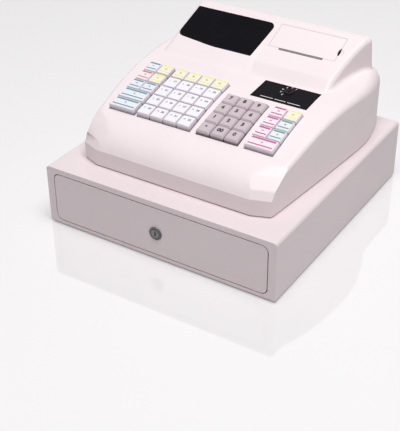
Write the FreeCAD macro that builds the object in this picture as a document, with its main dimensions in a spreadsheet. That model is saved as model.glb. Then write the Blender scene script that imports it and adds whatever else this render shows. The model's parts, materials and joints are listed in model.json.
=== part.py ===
import FreeCAD, Part
import bisect
import math
import os
import re

# Electronic cash register on a cash drawer. Millimetres, +X right, +Y to the rear, +Z up, floor at zero.

SIZES = {
    # cash drawer cabinet
    "cabinetWidth": 410, "cabinetDepth": 420, "cabinetHeight": 100, "sheetThickness": 1.5, "bendRadius": 6,
    "footHeight": 3, "footRadius": 9, "footInset": 28,
    "panelWidth": 381, "panelHeight": 82, "panelLift": 7, "panelRadius": 10, "panelThickness": 13,
    "panelGap": 1.6, "collarDepth": 15.5,
    # drawer box and runners
    "panWidth": 352, "panHeight": 60, "panLift": 14, "panRearGap": 22, "ledgeWidth": 10,
    "ledgeThickness": 1.6, "railSideGap": 1, "runningGap": 0.3, "rollerRadius": 8, "rollerWidth": 7,
    "pinRadius": 2.5, "bearingGap": 0.06, "rollerInset": 30,
    # tray and note clips
    "trayWall": 2.4, "trayHeight": 52, "traySideGap": 0.8, "trayFrontGap": 5.5, "coinDepth": 112,
    "cupFloor": 5, "scoopRadius": 34, "billWallDrop": 10, "floorThickness": 2.4,
    "clipWire": 1.3, "clipReach": 168, "clipWidth": 34, "clipFoot": 16, "lugThickness": 3.2,
    "lugRadius": 4.5,
    # drawer lock, latch and spring
    "lockRadius": 9.5, "lockFlange": 11, "lockFlangeThickness": 1.8, "plugRadius": 7, "lockDrop": 3,
    "lockTail": 1, "keySlotWidth": 1.8, "keySlotHeight": 8.5, "keySlotDepth": 7,
    "camLength": 47, "camWidth": 12, "camThickness": 2,
    "solenoidWidth": 30, "solenoidDepth": 18, "boltThrow": 8, "boltRadius": 4, "boltShelf": 14,
    "springRadius": 6, "springWire": 0.7, "springTurns": 7, "springSide": 60,
    # register housing
    "registerSetback": 41, "registerWidth": 374, "registerDepth": 371, "deckHeight": 102.5,
    "lipHeight": 21.5, "shadowGap": 2, "plinthInset": 6, "shellWall": 2.5, "cutOverrun": 5,
    "noseFlat": 137, "noseTurn": 20.7, "noseRound": 12,
    "humpSetback": 230, "humpHeight": 51.5, "humpSlope": 27.2, "humpTopDepth": 17, "humpRearLean": 6,
    "humpBaseWidth": 333, "humpTopWidth": 313, "humpTaper": 5, "humpEdgeRadius": 9,
    "podLeft": 0, "podSweep": 5, "podProud": 5.5, "podKnee": 18, "podFoot": 6, "podRound": 14,
    "podFootRadius": 8, "humpFootRadius": 6,
    "bossRadius": 4, "screwRadius": 1.6, "screwHeadRadius": 3, "screwHeadHeight": 2, "screwLength": 12,
    # keys
    "keyPitch": 24.4, "keyGap": 1, "keyRise": 7.5, "keySkirt": 7, "keyBevel": 1, "padBevel": 2.2,
    "keyShoulder": 4.4, "keyCorner": 1.6, "keyFieldSetback": 60, "keyFieldLift": 1.5, "keyClearance": 0.5,
    "stemRadius": 2.5, "stemLength": 8, "leftBankEdge": -152.5, "centreBankEdge": -100, "padEdge": 8,
    "rightBankEdge": 91, "frameDrop": 4, "frameThickness": 3, "frameBorder": 11,
    # windows and mode switch
    "windowLeft": -158, "windowWidth": 146, "windowRise": 28, "windowLength": 75, "windowSlant": 7,
    "windowSpread": 5, "windowLift": 8, "windowBend": 150, "windowCorner": 11, "windowSharp": 2,
    "windowFlange": 3, "windowFit": 0.15, "flangeThickness": 1.6, "displayDepth": 7,
    "customerWidth": 104, "customerHeight": 28, "customerLift": 13, "customerLeft": -134,
    "modeLeft": 37.8, "modeWidth": 97.6, "modeSetback": 168.5, "modeDepth": 50.6, "modeThickness": 1.5,
    "modeProud": 0.6, "modeLockRadius": 7.5, "modeLockSetback": 35, "modeLockShift": 50,
    "modeLockLength": 20, "modeLockRise": 1.2,
    # printer, measured up the slope from the hump's foot
    "coverLeft": 9, "coverWidth": 117, "coverFront": 55, "coverBack": 104, "coverGap": 0.5,
    "coverThickness": 2.6, "pivotDrop": 1.2, "hingePin": 1.3, "hingePinLength": 3, "slotWidth": 78,
    "slotLength": 4.4, "gripPlace": 75, "gripRadius": 14, "gripDepth": 3, "scoopDrop": 0.5,
    "paperRadius": 19.5, "paperWidth": 74, "paperSlack": 10.5, "paperPlace": 68, "paperCore": 6,
    "platenRadius": 5, "tubWall": 1.8,
    # inner boards and socket
    "boardThickness": 1.6, "postHeight": 6, "postRadius": 3.5,
    "transformerWidth": 62, "transformerDepth": 50, "transformerHeight": 48,
    "socketRadius": 7, "socketFlange": 9, "socketFlangeThickness": 1.2, "socketLength": 16,
    "socketSetback": 322, "socketHeight": 34,
}

os.makedirs("parts", exist_ok=True)
doc = FreeCAD.newDocument("cash_register")
sheet = doc.addObject("Spreadsheet::Sheet", "sizes")
for row, (alias, number) in enumerate(SIZES.items(), start=1):
    sheet.set("A%d" % row, alias)
    sheet.set("B%d" % row, str(number))
    sheet.setAlias("B%d" % row, alias)
doc.recompute()

aliasWord = re.compile(r"[A-Za-z]\w*")
angleTolerance = 1e-6
turned = {
    "x": FreeCAD.Rotation(FreeCAD.Vector(0, 1, 0), 90),
    "y": FreeCAD.Rotation(FreeCAD.Vector(1, 0, 0), -90),
    "z": FreeCAD.Rotation(),
}
nodes = {}


def size(alias):
    return float(sheet.get(alias))


def bound(text):
    # puts the sheet's name before each alias in an expression
    return aliasWord.sub(lambda word: "sizes." + word[0] if word[0] in SIZES else word[0], text)


def bind(thing, **links):
    for name, text in links.items():
        thing.setExpression(name.replace("_", "."), bound(text))


def place(thing, corner):
    bind(thing, Placement_Base_x=corner[0], Placement_Base_y=corner[1], Placement_Base_z=corner[2])


def block(name, corner, extent):
    thing = doc.addObject("Part::Box", name)
    bind(thing, Length=extent[0], Width=extent[1], Height=extent[2])
    place(thing, corner)
    return thing


def rod(name, radius, length, start, axis="z"):
    thing = doc.addObject("Part::Cylinder", name)
    thing.Placement = FreeCAD.Placement(FreeCAD.Vector(), turned[axis])
    bind(thing, Radius=radius, Height=length)
    place(thing, start)
    return thing


def join(name, pieces):
    thing = doc.addObject("Part::MultiFuse", name)
    thing.Shapes = pieces
    return thing


def cut(name, base, tools):
    thing = doc.addObject("Part::Cut", name)
    thing.Base = base
    thing.Tool = tools[0] if len(tools) == 1 else join(name + "_tools", tools)
    return thing


def rounded(name, base, radius, chosen):
    # fillets the edges of a base for which chosen(edge) is true
    doc.recompute()
    thing = doc.addObject("Part::Fillet", name)
    thing.Base = base
    thing.Edges = [(n, radius, radius) for n, edge in enumerate(base.Shape.Edges, start=1) if chosen(edge)]
    return thing


def along(axis):
    # tells whether an edge is straight and parallel to an axis
    def chosen(edge):
        turn = abs(edge.tangentAt(edge.FirstParameter).dot(axis))
        return len(edge.Vertexes) == 2 and abs(turn - 1) < angleTolerance

    return chosen


def keep(node, thing):
    thing.Label = node
    nodes[node] = thing
    return thing


def feature(node, shape, frame=None):
    thing = doc.addObject("Part::Feature", node)
    thing.Shape = shape
    if frame:
        thing.Placement = frame
    return keep(node, thing)


def vector(x, y, z):
    return FreeCAD.Vector(x, y, z)


X = vector(1, 0, 0)
Y = vector(0, 1, 0)
Z = vector(0, 0, 1)

# shared places, as expressions for bound objects
frontLine = "-cabinetDepth / 2"
roofLine = "footHeight + cabinetHeight"
registerLine = "-cabinetDepth / 2 + registerSetback"
panelFoot = "(footHeight + panelLift)"
runnerLine = "(footHeight + panelLift + panelHeight / 2)"
panFloor = "(footHeight + panLift)"
panFront = "(-cabinetDepth / 2 + panelThickness)"
panRear = "(cabinetDepth / 2 - sheetThickness - panRearGap)"
wallInside = "(cabinetWidth / 2 - sheetThickness)"
railEdge = "(panWidth / 2 + ledgeWidth + railSideGap)"
lockHeight = "(footHeight + panelLift + panelHeight / 2 - lockDrop)"
boltLine = "(cabinetDepth / 2 - sheetThickness - solenoidDepth / 2)"

# the same places as numbers, for shapes that are worked out here
front = -size("cabinetDepth") / 2
roof = size("footHeight") + size("cabinetHeight")
overrun = size("cutOverrun")
wall = size("shellWall")


def topEdge(edge):
    # an upper edge of the cabinet that runs front to rear
    return along(Y)(edge) and edge.CenterOfMass.z > size("cabinetHeight") / 2


def makeCabinet():
    frame = "(panelGap + sheetThickness)"
    outer = block("cabinet_outer", ("-cabinetWidth / 2", frontLine, "footHeight"),
                  ("cabinetWidth", "cabinetDepth", "cabinetHeight"))
    inner = block("cabinet_inner",
                  ("-" + wallInside, frontLine + " + sheetThickness", "footHeight - cutOverrun"),
                  ("cabinetWidth - 2 * sheetThickness", "cabinetDepth - 2 * sheetThickness",
                   "cabinetHeight - sheetThickness + cutOverrun"))
    bend = size("bendRadius")
    shell = cut("cabinet_shell", rounded("cabinet_bend", outer, bend, topEdge),
                [rounded("cabinet_inner_bend", inner, bend - size("sheetThickness"), topEdge)])
    collar = block("collar_outer",
                   ("-panelWidth / 2 - " + frame, frontLine, panelFoot + " - panelGap - sheetThickness"),
                   ("panelWidth + 2 * " + frame, "collarDepth", "panelHeight + 2 * " + frame))
    opening = block("collar_opening",
                    ("-panelWidth / 2 - panelGap", frontLine + " - cutOverrun", panelFoot + " - panelGap"),
                    ("panelWidth + 2 * panelGap", "collarDepth + 2 * cutOverrun",
                     "panelHeight + 2 * panelGap"))
    corner = size("panelRadius") + size("panelGap")
    collarRound = rounded("collar_round", collar, corner + size("sheetThickness"), along(Y))
    openingRound = rounded("opening_round", opening, corner, along(Y))
    framed = join("cabinet_framed", [shell, collarRound])
    keep("drawer_cabinet", cut("drawer_cabinet", framed, [openingRound]))
    base = block("cabinet_base", ("-" + wallInside, frontLine + " + sheetThickness", "footHeight"),
                 ("cabinetWidth - 2 * sheetThickness", "cabinetDepth - 2 * sheetThickness",
                  "sheetThickness"))
    keep("cabinet_base", base)
    feet = []
    for side in ("-", ""):
        for end in ("-", ""):
            feet.append(rod("foot", "footRadius", "footHeight",
                            (side + "(cabinetWidth / 2 - footInset)",
                             end + "(cabinetDepth / 2 - footInset)", "0")))
    keep("rubber_feet", join("rubber_feet", feet))


def makeRunners():
    channels = []
    rollers = []
    carried = []
    inside = "(2 * rollerRadius + 2 * runningGap)"
    start = "(-cabinetDepth / 2 + collarDepth + panelGap)"
    length = "(cabinetDepth - collarDepth - panelGap - sheetThickness)"
    for name, side in (("left", -1), ("right", 1)):
        web = wallInside if side > 0 else "-" + wallInside
        lowX = railEdge if side > 0 else "-" + wallInside
        width = "(" + wallInside + " - " + railEdge + ")"
        outer = block(name + "_rail_outer",
                      (lowX, start, runnerLine + " - " + inside + " / 2 - sheetThickness"),
                      (width, length, inside + " + 2 * sheetThickness"))
        hollowX = railEdge + " - cutOverrun" if side > 0 else "-" + wallInside + " + sheetThickness"
        hollow = block(name + "_rail_hollow",
                       (hollowX, start + " - cutOverrun", runnerLine + " - " + inside + " / 2"),
                       (width + " - sheetThickness + cutOverrun", length + " + 2 * cutOverrun", inside))
        channels.append(cut(name + "_rail", outer, [hollow]))
        gap = "(panWidth / 2 + runningGap)"
        pinX = gap if side > 0 else "-" + wallInside
        channels.append(rod(name + "_rail_pin", "pinRadius", wallInside + " - " + gap,
                            (pinX, frontLine + " + rollerInset", runnerLine), "x"))
        near = "(panWidth / 2 + (ledgeWidth - rollerWidth) / 2)"
        fixedX = near if side > 0 else "-" + near + " - rollerWidth"
        rollers.append(roller(name + "_cabinet_roller", fixedX, frontLine + " + rollerInset"))
        far = "(" + railEdge + " + railSideGap)"
        carriedX = far if side > 0 else "-" + far + " - rollerWidth"
        carried.append(roller(name + "_drawer_roller", carriedX, panRear + " - rollerInset"))
    keep("cabinet_rails", join("cabinet_rails", channels))
    keep("cabinet_rollers", join("cabinet_rollers", rollers))
    keep("drawer_rollers", join("drawer_rollers", carried))


def roller(name, x, y):
    tyre = rod(name + "_tyre", "rollerRadius", "rollerWidth", (x, y, runnerLine), "x")
    bore = rod(name + "_bore", "pinRadius + bearingGap", "rollerWidth + 2 * cutOverrun",
               (x + " - cutOverrun", y, runnerLine), "x")
    return cut(name, tyre, [bore])


def makeDrawer():
    length = "(" + panRear + " - " + panFront + ")"
    outer = block("pan_outer", ("-panWidth / 2", panFront, panFloor), ("panWidth", length, "panHeight"))
    inner = block("pan_inner",
                  ("-panWidth / 2 + sheetThickness", panFront + " + sheetThickness",
                   panFloor + " + sheetThickness"),
                  ("panWidth - 2 * sheetThickness", length + " - 2 * sheetThickness", "panHeight"))
    lockHole = rod("pan_lock_hole", "lockRadius + windowFit", "2 * cutOverrun",
                   ("0", panFront + " - cutOverrun", lockHeight), "y")
    pieces = [cut("pan_box", outer, [inner, lockHole])]
    for name, side in (("left", -1), ("right", 1)):
        ledgeX = "panWidth / 2" if side > 0 else "-panWidth / 2 - ledgeWidth"
        pieces.append(block(name + "_ledge", (ledgeX, panFront, runnerLine + " + rollerRadius + runningGap"),
                            ("ledgeWidth", length, "ledgeThickness")))
        reach = "(ledgeWidth + 2 * railSideGap + rollerWidth + runningGap)"
        pinX = "panWidth / 2 - sheetThickness" if side > 0 else "-panWidth / 2 - " + reach
        pieces.append(rod(name + "_pan_pin", "pinRadius", reach + " + sheetThickness",
                          (pinX, panRear + " - rollerInset", runnerLine), "x"))
    shelfHeight = panFloor + " + boltShelf"
    shelf = block("latch_shelf", ("-solenoidWidth / 2", panRear, shelfHeight),
                  ("solenoidWidth", "panRearGap - railSideGap", "sheetThickness"))
    strike = rod("latch_strike", "boltRadius + keyClearance", "2 * cutOverrun",
                 ("0", boltLine, shelfHeight + " - cutOverrun"))
    pieces.append(cut("latch_plate", shelf, [strike]))
    keep("drawer_pan", join("drawer_pan", pieces))

    panel = block("panel_outer", ("-panelWidth / 2", frontLine, panelFoot),
                  ("panelWidth", "panelThickness", "panelHeight"))
    hollow = block("panel_hollow",
                   ("-panelWidth / 2 + sheetThickness", frontLine + " + sheetThickness",
                    panelFoot + " + sheetThickness"),
                   ("panelWidth - 2 * sheetThickness", "panelThickness", "panelHeight - 2 * sheetThickness"))
    radius = size("panelRadius")
    lockOpening = rod("panel_lock_hole", "lockRadius + windowFit", "panelThickness",
                      ("0", frontLine + " - cutOverrun", lockHeight), "y")
    folded = cut("panel_folded", rounded("panel_round", panel, radius, along(Y)),
                 [rounded("panel_hollow_round", hollow, radius - size("sheetThickness"), along(Y)),
                  lockOpening])
    keep("drawer_front", folded)


def makeLock():
    flange = rod("lock_flange", "lockFlange", "lockFlangeThickness",
                 ("0", frontLine + " - lockFlangeThickness", lockHeight), "y")
    barrel = rod("lock_barrel_body", "lockRadius", "collarDepth + lockTail",
                 ("0", frontLine, lockHeight), "y")
    bore = rod("lock_bore", "plugRadius + bearingGap", "collarDepth + lockTail + 4 * cutOverrun",
               ("0", frontLine + " - 2 * cutOverrun", lockHeight), "y")
    keep("lock_barrel", cut("lock_barrel", join("lock_barrel_solid", [flange, barrel]), [bore]))
    plug = rod("lock_plug_body", "plugRadius", "lockFlangeThickness + collarDepth + lockTail + runningGap",
               ("0", frontLine + " - lockFlangeThickness", lockHeight), "y")
    slot = block("lock_key_slot",
                 ("-keySlotWidth / 2", frontLine + " - lockFlangeThickness - cutOverrun",
                  lockHeight + " - keySlotHeight / 2"),
                 ("keySlotWidth", "keySlotDepth + cutOverrun", "keySlotHeight"))
    cam = block("lock_cam",
                ("-camWidth / 2", frontLine + " + collarDepth + lockTail + runningGap",
                 lockHeight + " - camWidth / 2"),
                ("camLength + camWidth / 2", "camThickness", "camWidth"))
    keep("lock_plug", cut("lock_plug", join("lock_plug_solid", [plug, cam]), [slot]))


def makeLatch():
    base = "(footHeight + sheetThickness)"
    top = "(" + panFloor + " + boltShelf - railSideGap)"
    body = block("solenoid_body",
                 ("-solenoidWidth / 2", "cabinetDepth / 2 - sheetThickness - solenoidDepth", base),
                 ("solenoidWidth", "solenoidDepth", top + " - " + base + " - boltThrow / 2"))
    bore = rod("solenoid_bore", "boltRadius + bearingGap", top, ("0", boltLine, base + " + sheetThickness"))
    keep("latch_solenoid", cut("latch_solenoid", body, [bore]))
    bolt = rod("latch_bolt", "boltRadius", top + " - " + base + " - 2 * sheetThickness",
               ("0", boltLine, base + " + 2 * sheetThickness"))
    keep("latch_bolt", bolt)

    pitch = (size("panRearGap") - 3 * size("springWire")) / size("springTurns")
    coil = Part.makeHelix(pitch, pitch * size("springTurns"), size("springRadius"))
    start = Part.Wire([Part.makeCircle(size("springWire"), vector(size("springRadius"), 0, 0), Y)])
    spring = Part.Wire(coil.Edges).makePipeShell([start], True, True)
    rear = -front - size("sheetThickness") - size("panRearGap") + 1.5 * size("springWire")
    height = size("footHeight") + size("panelLift") + size("panelHeight") / 2
    feature("eject_spring", spring, FreeCAD.Placement(vector(size("springSide"), rear, height), turned["y"]))


def scoopEdge(edge):
    # the lower front edge of a coin cup
    middle = edge.CenterOfMass
    low = middle.z < roof - size("trayHeight")
    return along(X)(edge) and low and middle.y < front + size("coinDepth") / 2


def makeTray():
    floor = "(footHeight + panLift + sheetThickness)"
    trayFront = "(" + panFront + " + sheetThickness + trayFrontGap)"
    trayRear = "(" + panRear + " - sheetThickness - traySideGap)"
    half = "(panWidth / 2 - sheetThickness - traySideGap)"
    outer = block("tray_outer", ("-" + half, trayFront, floor),
                  ("2 * " + half, trayRear + " - " + trayFront, "trayHeight"))
    tools = []
    cup = "((2 * " + half + " - 6 * trayWall) / 5)"
    for number in range(5):
        x = "-%s + trayWall + %d * (%s + trayWall)" % (half, number, cup)
        well = block("coin_cup", (x, trayFront + " + trayWall", floor + " + cupFloor"),
                     (cup, "coinDepth - 2 * trayWall", "trayHeight"))
        tools.append(rounded("coin_scoop", well, size("scoopRadius"), scoopEdge))
    bill = "((2 * " + half + " - 4 * trayWall) / 3)"
    billFront = "(" + trayFront + " + coinDepth)"
    for number in range(3):
        x = "-%s + trayWall + %d * (%s + trayWall)" % (half, number, bill)
        tools.append(block("note_bay", (x, billFront, floor + " + floorThickness"),
                           (bill, trayRear + " - trayWall - " + billFront, "trayHeight")))
    tools.append(block("divider_relief",
                       ("-" + half + " + trayWall", billFront, floor + " + trayHeight - billWallDrop"),
                       ("2 * " + half + " - 2 * trayWall", trayRear + " - trayWall - " + billFront,
                        "trayHeight")))
    body = cut("tray_body", outer, tools)
    axleY = "(" + trayRear + " - trayWall - lugRadius)"
    axleZ = "(" + floor + " + trayHeight - lugRadius)"
    lugs = [body]
    holes = []
    for number in range(3):
        middle = "(-%s + trayWall + %d * (%s + trayWall) + %s / 2)" % (half, number, bill, bill)
        for side in ("-", "+"):
            edge = middle + " - clipWidth / 2 - lugThickness" if side == "-" else middle + " + clipWidth / 2"
            lugs.append(block("clip_lug", (edge, axleY + " - lugRadius", axleZ + " - lugRadius"),
                              ("lugThickness", "2 * lugRadius", "2 * lugRadius")))
        holes.append(rod("clip_hole", "clipWire + bearingGap", "clipWidth + 4 * lugThickness",
                         (middle + " - clipWidth / 2 - 2 * lugThickness", axleY, axleZ), "x"))
    keep("cash_tray", cut("cash_tray", join("tray_lugged", lugs), holes))


# where a clip's leg stands across its width, and its bends: shares of its reach and height
legShare = 0.3
legShares = [(0.10, 0.92), (0.55, 0.42), (0.86, 0.02), (0.93, 0.0)]


def makeClips():
    # each wire turns in the tray's lugs and presses two legs on the notes
    half = size("panWidth") / 2 - size("sheetThickness") - size("traySideGap")
    bay = (2 * half - 4 * size("trayWall")) / 3
    floor = size("footHeight") + size("panLift") + size("sheetThickness")
    rear = -front - 2 * size("sheetThickness") - size("panRearGap") - size("traySideGap")
    axle = vector(0, rear - size("trayWall") - size("lugRadius"),
                  floor + size("trayHeight") - size("lugRadius"))
    foot = floor + size("floorThickness") + size("runningGap") + size("clipWire")
    reach = size("clipReach")
    for number, name in enumerate(("left", "middle", "right")):
        middle = -half + size("trayWall") + number * (bay + size("trayWall")) + bay / 2
        ends = size("clipWidth") / 2 + size("lugThickness") + size("clipWire")
        pieces = [strand([vector(-ends, axle.y, axle.z), vector(ends, axle.y, axle.z)])]
        for side in (-1, 1):
            x = side * size("clipWidth") * legShare
            bends = [vector(x, axle.y - reach * away, foot + (axle.z - foot) * rise)
                     for away, rise in legShares]
            end = vector(x + side * size("clipFoot") / 2, axle.y - reach, foot)
            pieces.append(strand([vector(x, axle.y, axle.z)] + bends + [end]))
        shape = pieces[0].fuse(pieces[1:])
        shape.translate(vector(middle, 0, 0))
        feature("note_clip_" + name, shape)


def strand(points):
    # round wire along straight runs, with a ball in each bend
    radius = size("clipWire")
    pieces = []
    for begin, end in zip(points, points[1:]):
        pieces.append(Part.makeCylinder(radius, (end - begin).Length, begin, end - begin))
    for bend in points[1:-1]:
        pieces.append(Part.makeSphere(radius, bend))
    return pieces[0].fuse(pieces[1:])


# places of the register, as numbers
registerFront = front + size("registerSetback")
registerHalf = size("registerWidth") / 2
parting = roof + size("lipHeight")
deckTop = roof + size("deckHeight")
pitch = size("keyPitch")

# sections of the register from nose to rear: shares of its depth, half width and deck height,
# and of the deck height for the shoulder's radius
stationShares = [
    (0.000, 0.885, 0.273, 0.040), (0.019, 0.888, 0.395, 0.070), (0.062, 0.898, 0.537, 0.075),
    (0.159, 0.918, 0.672, 0.075), (0.321, 0.948, 0.838, 0.075), (0.429, 0.967, 0.916, 0.080),
    (0.563, 0.988, 0.968, 0.100), (0.833, 0.992, 1.000, 0.200), (0.914, 0.953, 0.990, 0.240),
    (0.968, 0.920, 0.956, 0.240), (1.000, 0.800, 0.878, 0.220),
]
# side view of the nose's cut-off corners: shares of the register's depth and deck height
noseShares = [(0.000, 0.273), (0.019, 0.395), (0.062, 0.537), (2.000, 6.000)]


def shareAt(y, column):
    # a column of the sections at a depth, on a straight line between two of them
    share = (y - registerFront) / size("registerDepth")
    depths = [station[0] for station in stationShares]
    n = min(max(bisect.bisect(depths, share), 1), len(depths) - 1)
    low = stationShares[n - 1]
    high = stationShares[n]
    return low[column] + (share - low[0]) / (high[0] - low[0]) * (high[column] - low[column])


def deckAt(y):
    return roof + size("deckHeight") * shareAt(y, 2)


def outline(points, radii):
    # closed wire through points, each corner rounded by its radius
    begins = []
    ends = []
    edges = []
    for n, point in enumerate(points):
        before = (points[n - 1] - point).normalize()
        after = (points[(n + 1) % len(points)] - point).normalize()
        half = before.getAngle(after) / 2
        back = radii[n] / math.tan(half)
        begins.append(point + before * back)
        ends.append(point + after * back)
        if radii[n] > 0:
            middle = point + (before + after).normalize() * (radii[n] / math.sin(half) - radii[n])
            edges.append(Part.Arc(begins[n], middle, ends[n]).toShape())
    for n in range(len(points)):
        edges.append(Part.makeLine(ends[n], begins[(n + 1) % len(points)]))
    return Part.Wire(Part.__sortEdges__(edges))


def prism(points, radii, reach):
    return Part.Face(outline(points, radii)).extrude(reach)


def drawnIn(points, inset):
    # convex polygon with each side moved inwards
    moved = []
    for n, point in enumerate(points):
        before = (point - points[n - 1]).normalize()
        after = (points[(n + 1) % len(points)] - point).normalize()
        moved.append(point + (after - before) * (inset / before.cross(after).Length))
    return moved


def placed(shape, frame):
    shape.Placement = frame
    return shape


def noseBlock(side, inset):
    # what lies behind one cut-off front corner, which has the nose's own side view
    low = roof - overrun
    depth = size("registerDepth")
    steps = [vector(0, back * depth, roof + high * size("deckHeight")) for back, high in noseShares]
    corners = [vector(0, 0, low)] + steps + [vector(0, steps[-1].y, low)]
    corners = [corner - X * size("registerWidth") for corner in drawnIn(corners, inset)]
    bend = size("noseRound") - inset
    shape = prism(corners, [0, 0, bend, bend, 0, 0], X * 2 * size("registerWidth"))
    return placed(shape, FreeCAD.Placement(vector(side * size("noseFlat"), registerFront, 0),
                                           FreeCAD.Rotation(Z, side * size("noseTurn"))))


def registerBody(inset):
    # loft of arched sections above the parting line, drawn in by an inset, with its front corners cut off
    sections = []
    bottom = parting - (overrun if inset else 0)
    for depthShare, widthShare, heightShare, roundShare in stationShares:
        y = registerFront + inset + depthShare * (size("registerDepth") - 2 * inset)
        half = registerHalf * widthShare - inset
        top = roof + size("deckHeight") * heightShare - inset
        radius = max(size("deckHeight") * roundShare - inset, size("keyCorner"))
        corners = [vector(-half, y, bottom), vector(-half, y, top), vector(half, y, top),
                   vector(half, y, bottom)]
        sections.append(outline(corners, [0, radius, radius, 0]))
    return Part.makeLoft(sections, True, False).common(noseBlock(-1, inset)).common(noseBlock(1, inset))


# the hump behind the deck, whose front slopes up to a narrow flat top
humpFoot = registerFront + size("humpSetback")
humpTop = deckTop + size("humpHeight")
humpEdge = humpFoot + size("humpHeight") / math.tan(math.radians(size("humpSlope")))
humpRear = humpEdge + size("humpTopDepth") + size("humpRearLean")
humpLow = (parting + deckTop) / 2
slopeFrame = FreeCAD.Placement(vector(0, humpFoot, deckTop), FreeCAD.Rotation(X, size("humpSlope")))
coverMiddle = size("coverLeft") + size("coverWidth") / 2


def onSlope(x, up, above):
    # point at a distance up the hump's front slope and above it
    return slopeFrame.multVec(vector(x, up, above))


# plan of the hump's right side, which flares out to the rear: shares of half its base width and of its depth
flareShares = [
    (0.860, -0.90), (0.860, -0.30), (0.861, 0.15), (0.871, 0.32), (0.886, 0.48), (0.910, 0.64),
    (0.943, 0.80), (0.967, 0.92), (0.985, 1.10),
]


def humpSides(inset):
    # block whose left side leans in towards the top and the front, and whose right side is flared
    far = X * size("humpBaseWidth")
    sections = []
    for y, narrower in ((humpFoot - 2 * size("humpHeight"), size("humpTaper")), (humpRear + overrun, 0)):
        base = size("humpBaseWidth") / 2 - narrower
        top = size("humpTopWidth") / 2 - narrower
        low = base + (base - top) / size("humpHeight") * (deckTop - humpLow)
        corners = [vector(-low, y, humpLow), vector(-top, y, humpTop), far + vector(0, y, humpTop),
                   far + vector(0, y, humpLow)]
        sections.append(outline(drawnIn(corners, inset), [0] * 4))
    spots = [vector(size("humpBaseWidth") / 2 * wide - inset, humpFoot + (humpRear - humpFoot) * back,
                    humpLow - overrun)
             for wide, back in flareShares]
    flare = planFace(spots, -2 * far).extrude(Z * (humpTop - humpLow + 2 * overrun))
    return Part.makeLoft(sections, True, True).common(flare)


def planFace(spots, across):
    # flat face between a smooth line through the spots and the same ends moved across
    line = Part.BSplineCurve()
    line.interpolate(spots)
    return Part.Face(Part.Wire([line.toShape(), Part.makeLine(spots[-1], spots[-1] + across),
                                Part.makeLine(spots[-1] + across, spots[0] + across),
                                Part.makeLine(spots[0] + across, spots[0])]))


def humpProfile(nose, noseRadius, inset):
    # side view with a given nose, closed over the top, down the leaning rear and below the deck
    fall = size("humpRearLean") / size("humpHeight")
    corners = nose + [vector(0, humpEdge, humpTop), vector(0, humpRear - size("humpRearLean"), humpTop),
                      vector(0, humpRear + fall * (deckTop - humpLow), humpLow)]
    corners = [corner - X * size("humpBaseWidth") for corner in drawnIn(corners, inset)]
    return prism(corners, [0] + noseRadius + [0, 0, 0], X * 2 * size("humpBaseWidth"))


def softened(solid, radius, chosen):
    # rounds the edges for which chosen(edge) is true, or leaves them sharp where there is no room
    try:
        return solid.makeFillet(radius, [edge for edge in solid.Edges if chosen(edge)])
    except Part.OCCError:
        return solid


def humpSolid(inset):
    start = vector(0, humpEdge - (humpTop - humpLow) / math.tan(math.radians(size("humpSlope"))), humpLow)
    sharp = humpProfile([start], [], inset).common(humpSides(inset))
    upper = sharp.BoundBox.ZMax - wall
    return softened(sharp, size("humpEdgeRadius") - inset, lambda edge: edge.BoundBox.ZMax > upper)


# the printer housing's left edge from front to rear: shares of its sweep and of the hump's setback
podEdgeShares = [(2.6, -0.30), (1.0, -0.02), (0.25, 0.09), (0.0, 0.20), (0.4, 0.32), (0.7, 0.56)]


def podSolid():
    # printer housing, proud of the slope, with a steep round nose and a curved left edge
    knee = onSlope(0, size("podKnee"), size("podProud"))
    foot = onSlope(0, -size("podFoot"), 0)
    start = foot + (foot - knee) * ((foot.z - humpLow) / (knee.z - foot.z))
    body = humpProfile([start, knee], [size("podRound")], 0)
    left = [vector(size("podLeft") + size("podSweep") * side, humpFoot + size("humpSetback") * back, humpLow)
            for side, back in podEdgeShares]
    plan = planFace(left, X * size("humpBaseWidth"))
    solid = body.common(humpSides(0)).common(plan.extrude(Z * (humpTop - humpLow + overrun)))
    return softened(solid, size("humpEdgeRadius"), podEdge)


def podEdge(edge):
    # the printer housing's upper edges, all but its left one
    box = edge.BoundBox
    onTop = box.ZMin > humpTop - wall and box.XMax > coverMiddle
    return onTop or box.XMin > coverMiddle and box.ZMax > deckTop and box.YLength > wall


def footEdge(edge, low, high):
    # an edge along the deck at the foot of the hump or the printer housing
    box = edge.BoundBox
    level = box.ZMin > deckTop - size("podRound") and box.ZMax < deckTop + wall
    middle = edge.CenterOfMass
    return level and low < middle.x < high and humpFoot - pitch < middle.y < humpEdge - pitch


def outerSkin(body, pod):
    # deck, printer housing and hump as one solid, with soft feet
    side = registerHalf
    one = body.fuse(pod).removeSplitter()
    start = size("podLeft") + size("podSweep")
    one = softened(one, size("podFootRadius"), lambda edge: footEdge(edge, start, side))
    left = Part.makeBox(side + coverMiddle, size("registerDepth"), humpTop, vector(-side, registerFront, 0))
    whole = one.fuse(humpSolid(0).common(left)).removeSplitter()
    return softened(whole, size("humpFootRadius"), lambda edge: footEdge(edge, -side, 0))


# the flat key field, which follows the deck's rise
keyRows = 5
keyFieldLength = keyRows * pitch
keyFieldY = registerFront + size("keyFieldSetback")
keyTilt = math.atan((deckAt(keyFieldY + keyFieldLength) - deckAt(keyFieldY)) / keyFieldLength)
keyFrame = FreeCAD.Placement(vector(0, keyFieldY, deckAt(keyFieldY) + size("keyFieldLift")),
                             FreeCAD.Rotation(X, math.degrees(keyTilt)))
# left edge, columns and rows of each bank
banks = {
    "left": ("leftBankEdge", 2, keyRows), "centre": ("centreBankEdge", 4, keyRows),
    "pad": ("padEdge", 3, keyRows - 1), "right": ("rightBankEdge", 2, keyRows - 1),
}
padNames = [
    "point", "double_zero", "zero", "one", "two", "three", "four", "five", "six", "seven", "eight", "nine",
]
stems = []


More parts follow.
